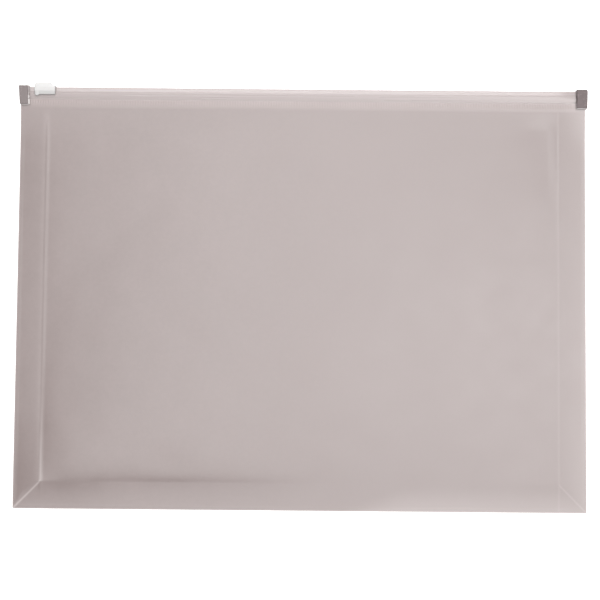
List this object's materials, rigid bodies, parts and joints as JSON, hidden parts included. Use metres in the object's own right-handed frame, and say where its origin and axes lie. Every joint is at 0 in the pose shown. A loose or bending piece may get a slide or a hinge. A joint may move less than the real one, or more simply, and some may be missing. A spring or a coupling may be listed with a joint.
{
  "type": "cash deposit bag",
  "caption": "Flat smoke-tinted film bag with creased expanding margins on three sides, closed along its long top edge by a slider zip with end clips; holds cash and papers.",
  "frame": {"origin": "middle of the underside of the bag's box, lying flat on its back panel", "axes": "+X along the zip, from the parked slider's end to the other; +Y from the bottom seam to the zip; +Z through the thickness, out of the front panel"},
  "size_m": [0.3328, 0.2474, 0.01],
  "materials": {
    "smoke_film": "frosted translucent film, smoke grey with a warm mauve tint",
    "smoke_profile": "glossy translucent extrusion, smoke grey",
    "white_plastic": "satin translucent white moulding",
    "dark_smoke_plastic": "glossy moulding, darker smoke grey than the film"
  },
  "bodies": {
    "bag_back": {"back_panel": "smoke_film", "zip_profile_back": "smoke_profile", "zip_profile_front_left_end": "smoke_profile", "zip_profile_front_right_end": "smoke_profile", "end_clip_left": "dark_smoke_plastic", "end_clip_right": "dark_smoke_plastic"},
    "bag_front": {"front_panel": "smoke_film", "zip_profile_front": "smoke_profile"},
    "slider": {"zip_slider": "white_plastic"}
  },
  "joints": [
    {"name": "slider_travel", "type": "slide", "parent": "bag_back", "child": "slider", "axis": [1, 0, 0], "range_m": [-0.0023, 0.3042]},
    {"name": "mouth_open", "type": "hinge", "parent": "bag_back", "child": "bag_front", "pos_m": [0, -0.1237, 0.005], "axis": [1, 0, 0], "range_deg": [0, 8]}
  ]
}
